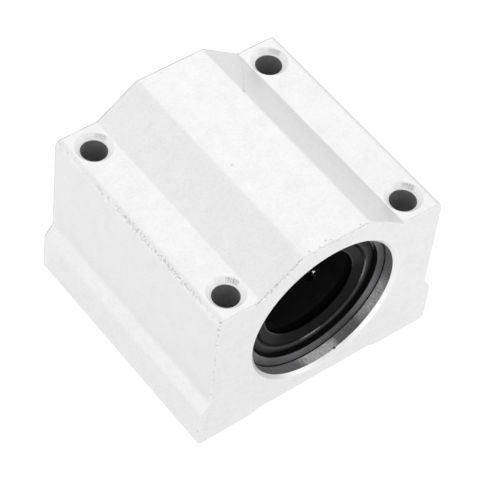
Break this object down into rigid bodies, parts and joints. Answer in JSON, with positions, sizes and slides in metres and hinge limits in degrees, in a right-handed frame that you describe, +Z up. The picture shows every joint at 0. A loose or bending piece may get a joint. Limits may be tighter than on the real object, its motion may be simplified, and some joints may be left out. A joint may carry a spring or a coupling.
{
  "type": "linear bearing block",
  "caption": "Closed aluminium slide block with a sealed linear ball bushing for a 20 mm shaft and four tapped mounting holes.",
  "frame": {"origin": "middle of the base, where the two feet stand", "axes": "+Y along the shaft bore, +X across the block, +Z up from the base to the hump"},
  "size_m": [0.054, 0.05, 0.041],
  "materials": {
    "anodised_aluminium": "fine blasted, clear anodised",
    "bearing_steel": "ground",
    "spring_steel": "blackened and oiled",
    "ball_steel": "polished",
    "cage_plastic": "moulded, satin",
    "seal_rubber": "moulded, lightly oiled"
  },
  "bodies": {
    "root": {"housing": "anodised_aluminium", "bearing_sleeve": "bearing_steel", "ball_retainer": "cage_plastic", "ball_circuit_1": "ball_steel", "ball_circuit_2": "ball_steel", "ball_circuit_3": "ball_steel", "ball_circuit_4": "ball_steel", "ball_circuit_5": "ball_steel", "front_seal": "seal_rubber", "rear_seal": "seal_rubber", "front_end_ring": "spring_steel", "rear_end_ring": "spring_steel", "front_retaining_ring": "spring_steel", "rear_retaining_ring": "spring_steel"}
  },
  "joints": []
}
